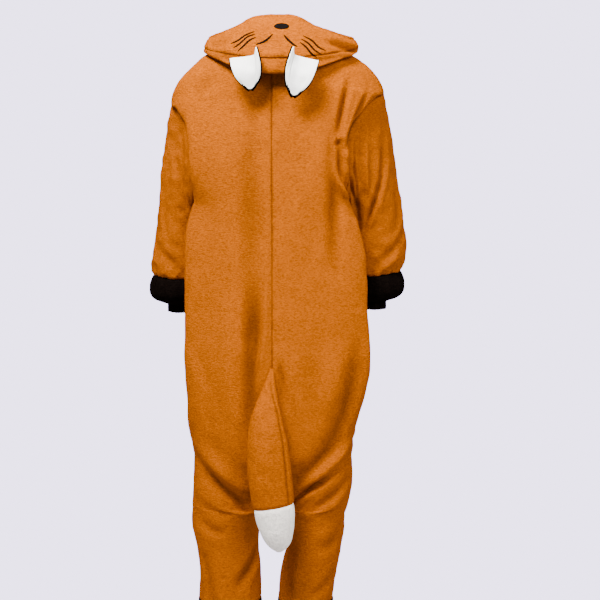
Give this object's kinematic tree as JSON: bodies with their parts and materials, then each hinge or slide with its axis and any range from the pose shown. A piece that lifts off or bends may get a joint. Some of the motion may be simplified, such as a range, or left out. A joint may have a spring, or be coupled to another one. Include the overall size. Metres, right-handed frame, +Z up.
{
  "type": "fox onesie",
  "caption": "Hooded one-piece fleece costume of a fox, with the hood thrown back, long sleeves and legs with dark bands, button front, ears and a stuffed white-tipped tail.",
  "frame": {"origin": "middle of the neck opening, level with the nape", "axes": "+Z up along the standing wearer, who would face -Y, so the back and the tail are at +Y and the wearer's left arm at +X"},
  "size_m": [0.6006, 0.3481, 1.4053],
  "materials": {
    "orange_fleece": "short crinkled pile, matt",
    "black_fleece": "short pile, matt",
    "white_plush": "soft pile, matt",
    "button_plastic": "smooth, slightly glossy"
  },
  "bodies": {
    "root": {"back_left": "orange_fleece", "back_right": "orange_fleece", "front_left": "orange_fleece", "front_right": "orange_fleece", "front_placket": "orange_fleece", "button_1": "button_plastic", "button_2": "button_plastic", "button_3": "button_plastic", "button_4": "button_plastic", "button_5": "button_plastic", "sleeve_left": "orange_fleece", "sleeve_right": "orange_fleece", "sleeve_band_left": "black_fleece", "sleeve_band_right": "black_fleece", "wrist_rib_left": "black_fleece", "wrist_rib_right": "black_fleece", "leg_band_left": "black_fleece", "leg_band_right": "black_fleece", "hood_face": "orange_fleece", "hood_back": "orange_fleece", "nose": "black_fleece", "ear_left_front": "white_plush", "ear_right_front": "white_plush", "ear_left_back": "black_fleece", "ear_right_back": "black_fleece", "tail": "orange_fleece", "tail_tip": "white_plush"}
  },
  "joints": []
}
